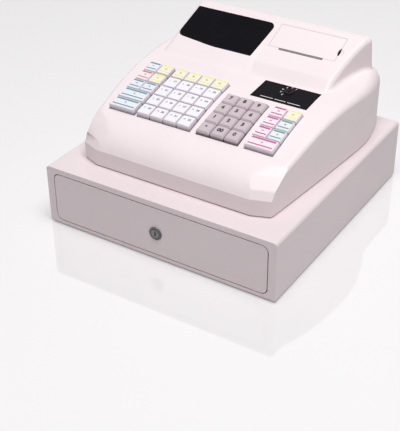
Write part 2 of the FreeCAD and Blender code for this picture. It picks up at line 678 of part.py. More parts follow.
def keyOutline(corner, width, length, inset, above):
    low = corner + vector(inset, inset, above)
    right = X * (width - 2 * inset)
    back = Y * (length - 2 * inset)
    return outline([low, low + right, low + right + back, low + back], [size("keyCorner")] * 4)


def keyCap(bank, column, row, columns=1):
    corner = vector(size(banks[bank][0]) + column * pitch, row * pitch, 0)
    width = columns * pitch - size("keyGap")
    length = pitch - size("keyGap")
    skirt = keyOutline(corner, width, length, 0, -size("keySkirt"))
    shoulder = keyOutline(corner, width, length, 0, size("keyShoulder"))
    top = keyOutline(corner, width, length, size("padBevel" if bank == "pad" else "keyBevel"),
                     size("keyRise"))
    lower = Part.makeLoft([skirt, shoulder], True, True)
    cap = lower.fuse(Part.makeLoft([shoulder, top], True, True))
    foot = corner + vector(width / 2, length / 2, -size("keySkirt") - size("stemLength"))
    stems.append(foot)
    return cap.fuse(Part.makeCylinder(size("stemRadius"), size("stemLength"), foot, Z)).removeSplitter()


def keepKeys(node, caps):
    feature(node, caps[0] if len(caps) == 1 else Part.makeCompound(caps), keyFrame)


def keyRow(bank, row):
    return [keyCap(bank, column, row) for column in range(banks[bank][1])]


def makeKeys():
    for row in range(2):
        keepKeys("key_left_wide_%d" % (row + 1), [keyCap("left", 0, row, 2)])
    for row in range(2, keyRows):
        keepKeys("keys_left_row_%d" % (row - 1), keyRow("left", row))
    for row in range(keyRows):
        keepKeys("keys_centre_row_%d" % (row + 1), keyRow("centre", row))
    for number, name in enumerate(padNames):
        keepKeys("key_" + name, [keyCap("pad", number % 3, number // 3)])
    keepKeys("key_right_wide", [keyCap("right", 0, 0, 2)])
    for row in range(1, keyRows - 1):
        keepKeys("keys_right_row_%d" % row, keyRow("right", row))


def bankOpenings():
    clear = size("keyClearance")
    depth = size("keySkirt") + 2 * overrun
    tools = []
    for edge, columns, rows in banks.values():
        hole = Part.makeBox(columns * pitch - size("keyGap") + 2 * clear,
                            rows * pitch - size("keyGap") + 2 * clear,
                            depth + size("keyRise") + 4 * overrun,
                            vector(size(edge) - clear, -clear, -depth))
        tools.append(placed(hole, keyFrame))
    return tools


def makeKeyboardFrame():
    # plate that the stems slide in, in the key field's own frame
    level = "(-keySkirt - frameDrop - frameThickness)"
    plate = block("frame_plate", ("leftBankEdge - frameBorder", "-frameBorder", level),
                  ("rightBankEdge - leftBankEdge + 2 * keyPitch + 2 * frameBorder",
                   "%d * keyPitch + 2 * frameBorder" % keyRows, "frameThickness"))
    guide = Part.makeCompound([
        Part.makeCylinder(size("stemRadius") + size("runningGap"), size("stemLength") + overrun, foot, Z)
        for foot in stems])
    holes = doc.addObject("Part::Feature", "stem_guides")
    holes.Shape = guide
    frame = keep("keyboard_frame", cut("keyboard_frame", plate, [holes]))
    frame.Placement = keyFrame


def frameBosses(skin):
    # posts that hang the keyboard frame from the deck, beside and between the banks
    edge = size("frameBorder") / 2
    level = -size("keySkirt") - size("frameDrop")
    left = size("leftBankEdge") - edge
    right = size("rightBankEdge") + 2 * pitch + edge
    posts = []
    for x in (left, size("padEdge") - edge, right):
        for y in (pitch / 2, keyFieldLength - pitch):
            post = Part.makeCylinder(size("bossRadius"), 4 * overrun - level, vector(x, y, level), Z)
            posts.append(placed(post, keyFrame).common(skin))
    return posts


# the mode switch's panel, which follows the deck
modeY = registerFront + size("modeSetback")
modeTilt = math.atan((deckAt(modeY + size("modeDepth")) - deckAt(modeY)) / size("modeDepth"))
modeFrame = FreeCAD.Placement(vector(size("modeLeft"), modeY, deckAt(modeY) + size("modeProud")),
                              FreeCAD.Rotation(X, math.degrees(modeTilt)))


def makeModeSwitch():
    plate = block("mode_plate", ("0", "0", "-modeThickness"), ("modeWidth", "modeDepth", "modeThickness"))
    bore = rod("mode_bore", "modeLockRadius + bearingGap", "modeThickness + 2 * cutOverrun",
               ("modeLockShift", "modeLockSetback", "-modeThickness - cutOverrun"))
    keep("mode_panel", cut("mode_panel", plate, [bore])).Placement = modeFrame
    plug = rod("mode_plug_body", "modeLockRadius", "modeLockLength",
               ("modeLockShift", "modeLockSetback", "modeLockRise - modeLockLength"))
    slot = block("mode_key_slot", ("modeLockShift - keySlotWidth / 2", "modeLockSetback - keySlotHeight / 2",
                                   "modeLockRise - keySlotDepth"),
                 ("keySlotWidth", "keySlotHeight", "keySlotDepth + cutOverrun"))
    keep("mode_plug", cut("mode_plug", plug, [slot])).Placement = modeFrame


def modeOpenings():
    fit = size("windowFit")
    seat = Part.makeBox(size("modeWidth") + 2 * fit, size("modeDepth") + 2 * fit,
                        size("modeThickness") + overrun,
                        vector(-fit, -fit, -size("modeThickness")))
    bore = Part.makeCylinder(size("modeLockRadius") + size("keyClearance"), size("modeLockLength"),
                             vector(size("modeLockShift"), size("modeLockSetback"),
                                    -size("modeLockLength")), Z)
    return [placed(seat, modeFrame), placed(bore, modeFrame)]


# where the window's lower edge begins to bend, as a share of its width from the right
windowBendShare = 0.5


def windowShape(grow, above, below):
    # leaning window of the operator's display, whose lower edge bends up at the left, in the slope's frame
    right = vector(size("windowLeft") + size("windowWidth"), size("windowRise"), -below)
    left = right + vector(-size("windowWidth"), size("windowLift"), 0)
    middle = right - X * (size("windowWidth") * windowBendShare)
    top = vector(size("windowLeft") + size("windowSlant"), size("windowRise") + size("windowLength"), -below)
    corners = [left, middle, right, top + X * (size("windowWidth") + size("windowSpread")), top]
    large = size("windowCorner") + grow
    small = size("windowSharp") + grow
    radii = [large, size("windowBend"), small, large, small]
    return placed(prism(drawnIn(corners, -grow), radii, Z * (above + below)), slopeFrame)


def customerShape(grow, ahead, inside):
    # window of the customer's display, on the hump's leaning rear
    lean = math.degrees(math.atan(size("humpRearLean") / size("humpHeight")))
    corner = vector(size("customerLeft") - grow, -inside, size("customerLift") - grow)
    shape = Part.makeBox(size("customerWidth") + 2 * grow, ahead + inside,
                         size("customerHeight") + 2 * grow, corner)
    return placed(shape, FreeCAD.Placement(vector(0, humpRear, deckTop), FreeCAD.Rotation(X, lean)))


def makeWindows():
    # each pane fills its opening, with a flange behind the wall
    behind = wall + size("flangeThickness")
    for node, shape in (("display_window", windowShape), ("customer_window", customerShape)):
        flange = shape(size("windowFlange"), -wall, behind).common(humpSolid(wall + size("windowFit")))
        feature(node, shape(-size("windowFit"), 0, behind).fuse(flange).removeSplitter())
    # circuit board under the pane, with the flat display tube on it
    side = "windowLeft + windowSlant + windowFlange"
    width = "windowWidth - windowSlant - 2 * windowFlange"
    behind = "(shellWall + flangeThickness)"
    plate = block("display_plate", (side, "windowRise + windowFlange", "-%s - displayDepth" % behind),
                  (width, "windowLength - 2 * windowFlange", "boardThickness"))
    tube = block("display_tube", (side + " + windowCorner", "windowRise + windowCorner",
                                  "-%s - displayDepth + boardThickness" % behind),
                 (width + " - 2 * windowCorner", "windowLength - 2 * windowCorner",
                  "displayDepth - boardThickness"))
    keep("display_board", join("display_board", [plate, tube])).Placement = slopeFrame


# places in the printer, from the cover's outline on the slope
pivot = onSlope(0, size("coverBack") - size("hingePin") - size("runningGap"), -size("pivotDrop"))
paperMiddle = onSlope(coverMiddle, size("paperPlace"), -wall - size("paperRadius") - size("paperSlack"))
platenMiddle = onSlope(coverMiddle, size("coverFront") + size("platenRadius"),
                       -wall - size("platenRadius") - size("coverGap"))
tubFloor = paperMiddle.z - size("paperRadius") - size("runningGap")


def coverBlock(grow, below, above):
    # block over the cover's outline, square to the slope
    length = size("coverBack") - size("coverFront")
    shape = Part.makeBox(size("coverWidth") + 2 * grow, length + 2 * grow, below + above,
                         vector(size("coverLeft") - grow, size("coverFront") - grow, -below))
    return placed(shape, slopeFrame)


def makeCover(pod):
    # skin of the printer housing with two pins at its rear edge
    below = pod.copy()
    below.translate(slopeFrame.Rotation.multVec(Z * -size("coverThickness")))
    lid = pod.common(coverBlock(0, 2 * overrun, 2 * overrun)).cut(below)
    reach = size("hingePinLength")
    pins = [Part.makeCylinder(size("hingePin"), 2 * reach, vector(x - reach, pivot.y, pivot.z), X)
            for x in (size("coverLeft"), size("coverLeft") + size("coverWidth"))]
    edge = size("coverLeft") + size("coverWidth")
    bite = Part.makeCylinder(size("gripRadius"), 4 * overrun,
                             vector(edge + size("gripRadius") - size("gripDepth"), size("gripPlace"),
                                    -2 * overrun), Z)
    feature("printer_cover", lid.cut(placed(bite, slopeFrame)).fuse(pins).removeSplitter())


def hingeSweep():
    # how far the cover's upper rear edge reaches from its pins
    slopeLength = size("humpHeight") / math.sin(math.radians(size("humpSlope")))
    rise = size("podProud") * (slopeLength - size("coverBack")) / (slopeLength - size("podKnee"))
    return math.hypot(size("hingePin") + size("runningGap"), size("pivotDrop") + rise)


def hingeLugs():
    # cheeks beside the cover that its pins turn in
    depth = 2 * size("bossRadius")
    length = 3 * size("bossRadius")
    lugs = []
    for x in (size("coverLeft") - size("coverGap") - size("hingePinLength"),
              size("coverLeft") + size("coverWidth") + size("coverGap")):
        lug = Part.makeBox(size("hingePinLength"), length, depth,
                           vector(x, size("coverBack") - length, -depth))
        lugs.append(placed(lug, slopeFrame))
    return lugs


def printerOpenings():
    gap = size("coverGap")
    slotHalf = size("slotWidth") / 2
    slot = Part.makeBox(2 * slotHalf, size("slotLength") + overrun, 6 * overrun,
                        vector(coverMiddle - slotHalf, size("coverFront") - size("slotLength"),
                               -3 * overrun))
    reach = size("hingePinLength") + gap
    pins = Part.makeCylinder(size("hingePin") + size("bearingGap"), size("coverWidth") + 2 * reach,
                             vector(size("coverLeft") - reach, pivot.y, pivot.z), X)
    groove = Part.makeCylinder(hingeSweep() + size("runningGap"), size("coverWidth") + 2 * gap,
                               vector(size("coverLeft") - gap, pivot.y, pivot.z), X)
    edge = size("coverLeft") + size("coverWidth")
    scoop = Part.makeSphere(size("gripRadius"),
                            onSlope(edge, size("gripPlace"), size("gripRadius") - size("scoopDrop")))
    return [coverBlock(gap, 3 * overrun, 3 * overrun), placed(slot, slopeFrame), pins, groove, scoop]


def makeTub(cavity):
    # open box under the cover, whose walls end at the housing's inside
    gap = size("coverGap")
    thick = size("tubWall")
    near = onSlope(0, size("coverFront") - size("slotLength"), 0).y - gap
    rear = pivot.y + 2 * size("hingePin") + 2 * gap
    corner = vector(size("coverLeft") - gap, near, tubFloor)
    width = size("coverWidth") + 2 * gap
    rise = humpTop - tubFloor
    outer = Part.makeBox(width + 2 * thick, rear - near + 2 * thick, rise + thick,
                         corner - vector(thick, thick, thick))
    inner = Part.makeBox(width, rear - near, rise + overrun, corner)
    feature("paper_tub", outer.cut(inner).common(cavity).cut(hingeLugs()))


def makePaper():
    # roll and platen, each about its own axis
    start = ("-paperWidth / 2", "0", "0")
    roll = rod("paper_body", "paperRadius", "paperWidth", start, "x")
    core = rod("paper_core", "paperCore", "paperWidth + 2 * cutOverrun",
               ("-paperWidth / 2 - cutOverrun", "0", "0"), "x")
    keep("paper_roll", cut("paper_roll", roll, [core])).Placement.Base = paperMiddle
    sleeve = rod("platen_sleeve", "platenRadius", "slotWidth", ("-slotWidth / 2", "0", "0"), "x")
    reach = "(slotWidth / 2 + runningGap + 2 * tubWall)"
    shaft = rod("platen_shaft", "pinRadius", "2 * " + reach, ("-" + reach, "0", "0"), "x")
    keep("platen_roller", join("platen_roller", [sleeve, shaft])).Placement.Base = platenMiddle


def makeMechanism():
    # two cheeks that carry the platen, a bar between them and the print head before it
    fall = vector(0, 0, platenMiddle.z - tubFloor)
    radius = size("platenRadius")
    half = size("slotWidth") / 2 + size("runningGap")
    thick = size("tubWall")
    foot = platenMiddle - fall
    pieces = []
    for x in (-half - thick, half):
        pieces.append(Part.makeBox(thick, 3 * radius, fall.z + radius, foot + vector(x, -1.5 * radius, 0)))
    corner = foot - vector(half + thick / 2, 1.5 * radius, 0)
    pieces.append(Part.makeBox(2 * half + thick, radius, 2 * radius, corner))
    pieces.append(Part.makeBox(2 * half + thick, radius / 2 - size("runningGap"), fall.z, corner))
    bore = Part.makeCylinder(size("pinRadius") + size("bearingGap"), 4 * half,
                             platenMiddle - X * 2 * half, X)
    feature("printer_mechanism", pieces[0].fuse(pieces[1:]).removeSplitter().cut(bore))


# shares of the register's half width and depth
screwShares = [(-0.62, 0.10), (0.62, 0.10), (-0.80, 0.97), (0.80, 0.97)]
postShares = [(-0.78, 0.40), (0.08, 0.40), (-0.78, 0.64), (0.08, 0.64)]
transformerShares = (0.30, 0.66)
# each chip's shares of the board's width and depth, its own, and its height in board thicknesses
chipShares = [(0.1, 0.2, 0.2, 0.3, 2.0), (0.45, 0.3, 0.15, 0.25, 1.5), (0.7, 0.15, 0.2, 0.5, 4.0),
              (0.2, 0.7, 0.4, 0.15, 3.0)]


def onPlan(shares, z):
    return vector(shares[0] * registerHalf, registerFront + shares[1] * size("registerDepth"), z)


def socketPlace():
    y = registerFront + size("socketSetback")
    return vector(-registerHalf * shareAt(y, 1), y, roof + size("socketHeight"))


def makeSocket():
    # flanged socket in the left wall, open to the left
    start = socketPlace()
    flange = rod("socket_flange", "socketFlange", "socketFlangeThickness",
                 ("-socketFlangeThickness", "0", "0"), "x")
    body = rod("socket_body", "socketRadius", "socketLength", ("-socketFlangeThickness", "0", "0"), "x")
    hole = rod("socket_hole", "socketRadius - tubWall", "socketLength",
               ("-socketFlangeThickness - tubWall", "0", "0"), "x")
    socket = keep("side_socket", cut("side_socket", join("socket_solid", [flange, body]), [hole]))
    socket.Placement.Base = start - X * size("windowFit")


def makeUpperHousing():
    skin = registerBody(0)
    pod = podSolid()
    cavity = registerBody(wall).fuse(humpSolid(wall))
    solid = outerSkin(skin, pod)
    posts = frameBosses(solid)
    tools = bankOpenings() + modeOpenings() + printerOpenings()
    tools += [windowShape(0, overrun, 2 * wall), customerShape(0, overrun, 2 * wall)]
    for place in screwShares:
        foot = onPlan(place, parting)
        posts.append(Part.makeCylinder(size("bossRadius"), deckTop - parting, foot, Z).common(skin))
        tools.append(Part.makeCylinder(size("screwRadius") + size("bearingGap"),
                                       size("screwLength"), foot, Z))
    start = socketPlace()
    tools.append(Part.makeCylinder(size("socketRadius") + size("windowFit"), 3 * wall, start - X * wall, X))
    tools.append(Part.makeCylinder(size("socketFlange") + size("windowFit"), wall, start - X * wall, X))
    posts += [lug.common(solid) for lug in hingeLugs()]
    feature("upper_housing", solid.cut(cavity).fuse(posts).cut(tools))
    makeCover(pod)
    makeTub(cavity)
    return skin


def floorPlan(body, z):
    # flat face with the outline that a body has at its foot
    face = min(body.Faces, key=lambda face: face.CenterOfMass.z)
    wire = Part.Wire(face.OuterWire.Edges)
    wire.translate(Z * (z - wire.BoundBox.ZMin))
    return Part.Face(wire)


def makeLowerHousing(skin):
    # tray under the parting line, on a plinth that leaves a shadow gap
    gap = size("shadowGap")
    lip = size("lipHeight")
    floorTop = roof + gap + wall
    rim = floorPlan(skin, roof + gap).extrude(Z * (lip - gap))
    sole = floorPlan(registerBody(size("plinthInset")), roof).extrude(Z * (gap + wall))
    hollow = floorPlan(registerBody(wall), floorTop).extrude(Z * lip)
    body = rim.fuse(sole).cut(hollow)
    posts = []
    holes = []
    for place in screwShares:
        start = onPlan(place, roof)
        posts.append(Part.makeCylinder(size("bossRadius"), lip - gap - wall, onPlan(place, floorTop), Z))
        holes.append(Part.makeCylinder(size("screwRadius") + size("runningGap"), lip + overrun, start, Z))
        holes.append(Part.makeCylinder(size("screwHeadRadius") + size("runningGap"),
                                       size("screwHeadHeight") + size("runningGap"), start, Z))
    for place in postShares:
        posts.append(Part.makeCylinder(size("postRadius"), size("postHeight"), onPlan(place, floorTop), Z))
    feature("lower_housing", body.fuse(posts).removeSplitter().cut(holes))


def makeScrews():
    screws = []
    for side, back in screwShares:
        start = ("%s * registerWidth / 2" % side, "%s + %s * registerDepth" % (registerLine, back),
                 roofLine + " + runningGap")
        screws.append(rod("screw_head", "screwHeadRadius", "screwHeadHeight", start))
        screws.append(rod("screw_shank", "screwRadius", "lipHeight + screwLength - 2 * screwHeadHeight",
                          start))
    keep("housing_screws", join("housing_screws", screws))


def makeBoards():
    deck = roofLine + " + shadowGap + shellWall"
    left, near = postShares[0]
    right, far = postShares[-1]
    width = "(%s * registerWidth / 2)" % (right - left)
    depth = "(%s * registerDepth)" % (far - near)
    x = "(%s * registerWidth / 2)" % left
    y = "(%s + %s * registerDepth)" % (registerLine, near)
    edge = "2 * postRadius"
    board = block("board_plate", (x + " - " + edge, y + " - " + edge, deck + " + postHeight"),
                  (width + " + 2 * " + edge, depth + " + 2 * " + edge, "boardThickness"))
    chips = [block("chip", ("%s + %s * %s" % (x, across, width), "%s + %s * %s" % (y, back, depth),
                            deck + " + postHeight + boardThickness"),
                   ("%s * %s" % (wide, width), "%s * %s" % (deep, depth), "%s * boardThickness" % high))
             for across, back, wide, deep, high in chipShares]
    keep("main_board", join("main_board", [board] + chips))
    side, back = transformerShares
    keep("transformer", block("transformer", ("%s * registerWidth / 2" % side,
                                              "%s + %s * registerDepth" % (registerLine, back), deck),
                              ("transformerWidth", "transformerDepth", "transformerHeight")))


makeCabinet()
makeRunners()
makeDrawer()
makeLock()
makeLatch()
makeTray()
makeClips()
makeKeys()
makeKeyboardFrame()
makeModeSwitch()
makeWindows()
makeLowerHousing(makeUpperHousing())
makePaper()
makeMechanism()
makeScrews()
makeBoards()
makeSocket()
doc.recompute()
for thing in doc.Objects:
    if "Invalid" in thing.State or "Error" in thing.State:
        raise RuntimeError(thing.Name + " failed: " + str(thing.State))
for node, thing in nodes.items():
    shape = thing.Shape
    if shape.isNull() or not shape.isValid() or not shape.Solids:
        raise RuntimeError(node + " has no valid solid")
    shape.exportStep("parts/" + node + ".step")
    print(node, len(shape.Solids), round(shape.Volume))
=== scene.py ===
import bpy
import bmesh
import json
import math
from mathutils import Matrix, Vector


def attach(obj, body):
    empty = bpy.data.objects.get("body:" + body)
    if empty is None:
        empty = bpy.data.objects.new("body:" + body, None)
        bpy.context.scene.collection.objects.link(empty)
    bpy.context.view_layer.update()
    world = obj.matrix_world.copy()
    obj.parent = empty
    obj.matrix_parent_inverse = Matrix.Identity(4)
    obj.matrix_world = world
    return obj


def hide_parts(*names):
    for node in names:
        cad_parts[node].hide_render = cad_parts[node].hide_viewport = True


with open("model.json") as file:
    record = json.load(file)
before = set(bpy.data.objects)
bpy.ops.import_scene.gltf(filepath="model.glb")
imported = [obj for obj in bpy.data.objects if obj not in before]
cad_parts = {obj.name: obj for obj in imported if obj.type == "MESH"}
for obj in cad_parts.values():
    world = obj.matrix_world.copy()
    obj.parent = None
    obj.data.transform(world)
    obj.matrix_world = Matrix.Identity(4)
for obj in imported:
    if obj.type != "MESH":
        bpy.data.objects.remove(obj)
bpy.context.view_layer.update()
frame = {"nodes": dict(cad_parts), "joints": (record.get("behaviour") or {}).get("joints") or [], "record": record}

# Electronic cash register on a cash drawer, in metres, +Z up, front towards -Y.

mm = 0.001
bodyOf = {node: body for body, members in frame["record"]["behaviour"]["bodies"].items() for node in members}
joints = {joint["name"]: joint for joint in frame["joints"]}
keyNormal = -Vector(joints["key_zero_press"]["axis"])
keyTilt = math.atan2(-keyNormal.y, keyNormal.z)
keyTurn = Matrix.Rotation(keyTilt, 4, "X")
keyTop = max(keyNormal.dot(vertex.co) for vertex in frame["nodes"]["key_zero"].data.vertices)


# camera at the photograph's angle

cameraView = {
    "place": (0.7365, -1.2293, 0.9045),
    "target": (-0.0498, -0.0100, -0.0490),
    "roll": -0.62,
    "lens": 84.9,
    "sensor": 36.0,
}


def makeCamera(view):
    lens = bpy.data.cameras.new("camera")
    lens.lens = view["lens"]
    lens.sensor_width = view["sensor"]
    camera = bpy.data.objects.new("camera", lens)
    place = Vector(view["place"])
    back = (place - Vector(view["target"])).normalized()
    right = Vector((0, 0, 1)).cross(back).normalized()
    turn = Matrix((right, back.cross(right), back)).transposed().to_4x4()
    rolled = Matrix.Rotation(math.radians(view["roll"]), 4, "Z")
    camera.matrix_world = Matrix.Translation(place) @ turn @ rolled
    bpy.context.scene.collection.objects.link(camera)
    bpy.context.scene.camera = camera


makeCamera(cameraView)
print("camera placed")


# shader graphs, written as sums

class Wire:
    # a shader socket that adds a Math node for each sum it is used in

    def __init__(self, tree, socket):
        self.tree = tree
        self.socket = socket

    def maths(self, operation, *values):
        node = self.tree.nodes.new("ShaderNodeMath")
        node.operation = operation
        for slot, value in zip(node.inputs, values):
            join(self.tree, slot, value)
        return Wire(self.tree, node.outputs[0])

    def __add__(self, other):
        return self.maths("ADD", self, other)

    def __mul__(self, other):
        return self.maths("MULTIPLY", self, other)

    def __gt__(self, other):
        return self.maths("GREATER_THAN", self, other)

    def __lt__(self, other):
        return self.maths("LESS_THAN", self, other)

    def __abs__(self):
        return self.maths("ABSOLUTE", self)

    __radd__ = __add__
    __rmul__ = __mul__


def join(tree, slot, value):
    if isinstance(value, Wire):
        tree.links.new(value.socket, slot)
    elif hasattr(slot.default_value, "__len__") and len(value) == 3 and len(slot.default_value) == 4:
        slot.default_value = (*value, 1)
    else:
        slot.default_value = value


class Graph:
    # a node tree that node() adds to

    def __init__(self, tree):
        self.tree = tree

    def node(self, kind, settings, sockets, output=0):
        node = self.tree.nodes.new(kind)
        for name, value in settings.items():
            setattr(node, name, value)
        for name, value in sockets.items():
            join(self.tree, node.inputs[name], value)
        return Wire(self.tree, node.outputs[output])


class Finish(Graph):
    # a material whose Principled shader is fed by set()

    def __init__(self, name, **constants):
        self.material = bpy.data.materials.new(name)
        self.material.use_nodes = True
        super().__init__(self.material.node_tree)
        self.shader = self.tree.nodes["Principled BSDF"]
        for socket, value in constants.items():
            self.set(socket.replace("_", " "), value)

    def set(self, socket, value):
        join(self.tree, self.shader.inputs[socket], value)

    def place(self):
        return self.node("ShaderNodeTexCoord", {}, {}, "Object")

    def noise(self, scale, detail=2.0):
        sockets = {"Vector": self.place(), "Scale": scale, "Detail": detail}
        return self.node("ShaderNodeTexNoise", {}, sockets)

    def blend(self, share, low, high):
        # a mix of two colours, whose sockets share their names with those for numbers
        node = self.node("ShaderNodeMix", {"data_type": "RGBA"}, {}).socket.node
        join(self.tree, node.inputs[0], share)
        join(self.tree, node.inputs[6], low)
        join(self.tree, node.inputs[7], high)
        return Wire(self.tree, node.outputs[2])

    def bump(self, height, depth, strength):
        normal = self.node("ShaderNodeBump", {}, {"Height": height, "Distance": depth, "Strength": strength})
        self.set("Normal", normal)

    def spread(self, colour, change, scale):
        # the colour, darker and lighter by a share in soft patches
        low = [part * (1 - change) for part in colour]
        high = [part * (1 + change) for part in colour]
        self.set("Base Color", self.blend(self.noise(scale), low, high))

    def footShade(self, colour, share):
        # painted shade: the colour, falling to a share of itself towards a key's foot, where the gaps between caps
        # lie in shade
        height = self.node("ShaderNodeVectorMath", {"operation": "DOT_PRODUCT"},
                           {0: self.place(), 1: keyNormal}, "Value")
        rise = self.node("ShaderNodeMapRange", {"interpolation_type": "SMOOTHSTEP"}, {
            "Value": height, "From Min": keyTop - capShade["foot"],
            "From Max": keyTop - capShade["shoulder"]})
        self.set("Base Color", self.blend(rise, [part * share for part in colour], colour))


# how far below a cap's top its painted shade ends and starts
capShade = {"foot": 8.0 * mm, "shoulder": 1.4 * mm}

# a plain finish: each look below names only what differs from it
plainLook = {
    "metal": 0.0, "shine": 0.5, "bend": 1.5, "coat": 0.0, "coatRough": 0.03, "change": 0.025, "patch": 18,
    "patchDetail": 2, "detail": 3, "vary": 0.10, "depth": 0.0, "strength": 0.5,
}
looks = {
    # plastics and rubber
    "housing": {"colour": (0.86, 0.765, 0.775), "rough": 0.42, "grain": 1500, "depth": 0.03 * mm},
    "tray": {"colour": (0.62, 0.60, 0.60), "rough": 0.5, "grain": 900, "depth": 0.05 * mm},
    "darkPlastic": {"colour": (0.035, 0.035, 0.038), "rough": 0.45, "grain": 1200, "depth": 0.04 * mm},
    # grey pad cap, darkened towards its foot as painted shade
    "keyGrey": {"colour": (0.57, 0.48, 0.52), "footShadeShare": 0.2, "rough": 0.40, "grain": 1600,
                "depth": 0.02 * mm},
    "lockBlack": {"colour": (0.010, 0.010, 0.012), "rough": 0.4, "grain": 1200, "depth": 0.02 * mm,
                  "shine": 0.06},
    "greyPlastic": {"colour": (0.22, 0.21, 0.21), "rough": 0.5, "grain": 1200, "depth": 0.03 * mm},
    "rubber": {"colour": (0.03, 0.03, 0.03), "rough": 0.75, "grain": 800, "depth": 0.08 * mm},
    # baked paint with a fine orange peel
    "cabinetPaint": {"colour": (0.78, 0.685, 0.70), "change": 0.02, "patch": 9, "rough": 0.40, "vary": 0.12,
                     "grain": 420, "detail": 1, "depth": 0.05 * mm, "strength": 0.6, "coat": 0.25,
                     "coatRough": 0.2},
    # clear cap over a pale stem, darkened towards its foot as painted shade
    "keyClear": {"colour": (0.74, 0.68, 0.76), "footShadeShare": 0.4, "rough": 0.17, "vary": 0.06, "grain": 900,
                 "detail": 2, "depth": 0.01 * mm, "strength": 0.4, "coat": 0.6, "bend": 1.49},
    # black printed film
    "panelBlack": {"colour": (0.006, 0.006, 0.0085), "change": 0.15, "patch": 40, "rough": 0.37,
                   "grain": 2200, "detail": 2, "depth": 0.01 * mm, "strength": 0.4, "shine": 0.03},
    # near black display filter, polished
    "tintedWindow": {"low": (0.004, 0.004, 0.006), "high": (0.008, 0.008, 0.010), "patch": 25,
                     "rough": 0.085, "vary": 0.05, "grain": 25, "detail": 2, "shine": 0.03, "bend": 1.49},
    # plated and polished, with faint turning marks
    "brightMetal": {"metal": 1.0, "low": (0.60, 0.60, 0.61), "high": (0.72, 0.72, 0.73), "patch": 700,
                    "rough": 0.16, "vary": 0.08, "grain": 700, "detail": 2},
    # lock plating, its base colour darkened as a painted reflection of a dim room
    "darkChrome": {"metal": 1.0, "low": (0.08, 0.08, 0.085), "high": (0.20, 0.20, 0.205), "patch": 420,
                   "patchDetail": 3, "rough": 0.20, "vary": 0.08, "grain": 900, "detail": 2},
    # the lock plug's face, with a lighter painted reflection of the same dim room in its base colour
    "greyChrome": {"metal": 1.0, "low": (0.12, 0.12, 0.125), "high": (0.34, 0.34, 0.345), "patch": 420,
                   "patchDetail": 3, "rough": 0.20, "vary": 0.08, "grain": 900, "detail": 2},
    "springWire": {"metal": 1.0, "low": (0.42, 0.42, 0.43), "high": (0.60, 0.60, 0.61), "patch": 1400,
                   "rough": 0.325, "vary": 0.15, "grain": 1400, "detail": 2},
    "paper": {"low": (0.80, 0.79, 0.77), "high": (0.90, 0.895, 0.88), "patch": 500, "patchDetail": 4,
              "rough": 0.65, "grain": 500, "detail": 4, "depth": 0.02 * mm},
    "blackInk": {"colour": (0.02, 0.02, 0.025), "change": 0.05, "patch": 300, "rough": 0.45, "grain": 900,
                 "detail": 2},
    "whiteInk": {"colour": (0.80, 0.80, 0.82), "change": 0.05, "patch": 300, "rough": 0.45, "grain": 900,
                 "detail": 2},
}


def makeFinish(name):
    look = {**plainLook, **looks[name]}
    finish = Finish(name, Metallic=look["metal"], Specular_IOR_Level=look["shine"], IOR=look["bend"],
                    Coat_Roughness=look["coatRough"])
    finish.set("Coat Weight", look["coat"])
    if "low" in look:
        patches = finish.noise(look["patch"], look["patchDetail"])
        finish.set("Base Color", finish.blend(patches, look["low"], look["high"]))
    elif "footShadeShare" in look:
        finish.footShade(look["colour"], look["footShadeShare"])
    else:
        finish.spread(look["colour"], look["change"], look["patch"])
    fine = finish.noise(look["grain"], look["detail"])
    finish.set("Roughness", fine * look["vary"] + (look["rough"] - look["vary"] / 2))
    if look["depth"]:
        finish.bump(fine, look["depth"], look["strength"])
    return finish.material


steelLook = {
    "crystal": 160, "low": (0.50, 0.51, 0.52), "high": (0.66, 0.67, 0.68), "rough": 0.30, "vary": 0.14,
}


def makeSteel():
    # zinc coated sheet with its flat crystals
    finish = Finish("sheetSteel", Metallic=1.0)
    cells = {"Vector": finish.place(), "Scale": steelLook["crystal"]}
    crystals = finish.node("ShaderNodeTexVoronoi", {}, cells, "Color")
    grey = finish.node("ShaderNodeSeparateColor", {}, {"Color": crystals})
    finish.set("Base Color", finish.blend(grey, steelLook["low"], steelLook["high"]))
    finish.set("Roughness", grey * steelLook["vary"] + steelLook["rough"])
    return finish.material


boardLook = {
    "cell": 210, "track": 130, "trackGap": 0.03, "spot": 0.12, "dark": (0.015, 0.09, 0.035),
    "light": (0.03, 0.16, 0.06), "solder": (0.55, 0.56, 0.55), "rough": 0.35, "vary": 0.2,
}


def makeBoardGreen():
    # circuit board with tracks and solder points
    finish = Finish("circuitBoard")
    cells = finish.node("ShaderNodeTexVoronoi", {"distance": "CHEBYCHEV"},
                        {"Vector": finish.place(), "Scale": boardLook["cell"]})
    bricks = {"Vector": finish.place(), "Scale": boardLook["track"], "Mortar Size": boardLook["trackGap"]}
    tracks = finish.node("ShaderNodeTexBrick", {}, bricks, "Fac")
    green = finish.blend(tracks, boardLook["dark"], boardLook["light"])
    finish.set("Base Color", finish.blend(cells < boardLook["spot"], green, boardLook["solder"]))
    finish.set("Roughness", cells * boardLook["vary"] + boardLook["rough"])
    return finish.material


coreLook = {
    "metal": 0.7, "layer": 320, "low": (0.10, 0.09, 0.085), "high": (0.26, 0.24, 0.23),
    "rough": 0.4, "vary": 0.2,
}


def makeLaminated():
    # stacked core plates, dark at their joints
    finish = Finish("coreSteel", Metallic=coreLook["metal"])
    layers = finish.node("ShaderNodeTexWave", {"bands_direction": "Y"},
                         {"Vector": finish.place(), "Scale": coreLook["layer"]})
    finish.set("Base Color", finish.blend(layers, coreLook["low"], coreLook["high"]))
    finish.set("Roughness", layers * coreLook["vary"] + coreLook["rough"])
    return finish.material


labelLook = {
    "paper": (0.86, 0.85, 0.88),
    "backBand": (0.30, 0.47),       # from and to, in shares of the label's length from its middle
    "frontBand": (-0.33, -0.21),
    "bandSide": 0.45,
    "bend": 1.49, "rough": 0.25, "coat": 0.5, "fibre": 1200, "fibreDetail": 3, "fibreShare": 0.97,
}


